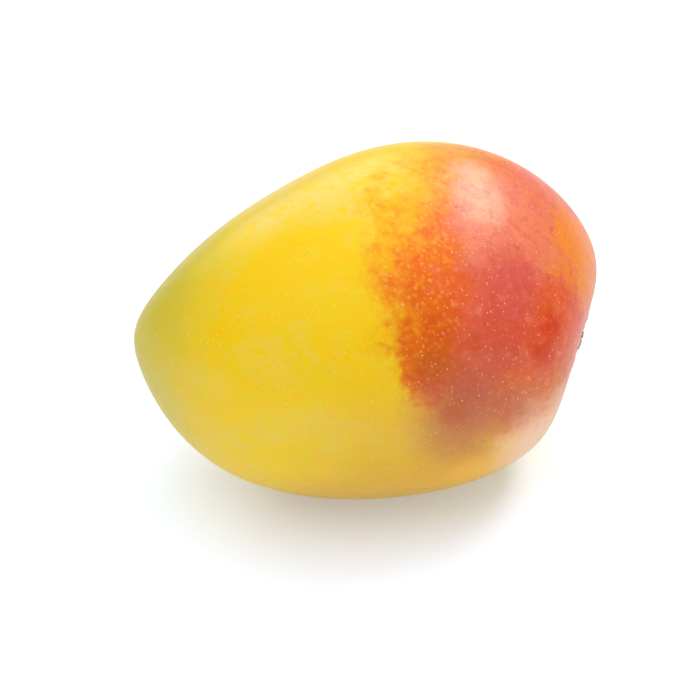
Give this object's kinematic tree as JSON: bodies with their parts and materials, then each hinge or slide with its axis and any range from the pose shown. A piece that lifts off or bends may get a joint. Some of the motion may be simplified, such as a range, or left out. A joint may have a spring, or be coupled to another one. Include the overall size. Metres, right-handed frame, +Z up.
{
  "type": "mango",
  "caption": "Whole ripe mango with a red-blushed yellow skin and a woody stalk stub, lying on one cheek.",
  "frame": {"origin": "centre of the small flat spot that the mango rests on, below its centre of mass", "axes": "+X towards the stem end, -Y towards the belly side that faces the viewer, +Z up"},
  "size_m": [0.1218, 0.1051, 0.0912],
  "materials": {
    "skin": "waxy mango skin: yellow tip and belly, orange band and red blush at the stem end, with fine pale dots",
    "stalk": "dry grey-brown woody stalk, rough"
  },
  "bodies": {
    "root": {"fruit": "skin", "stem_stub": "stalk"}
  },
  "joints": []
}
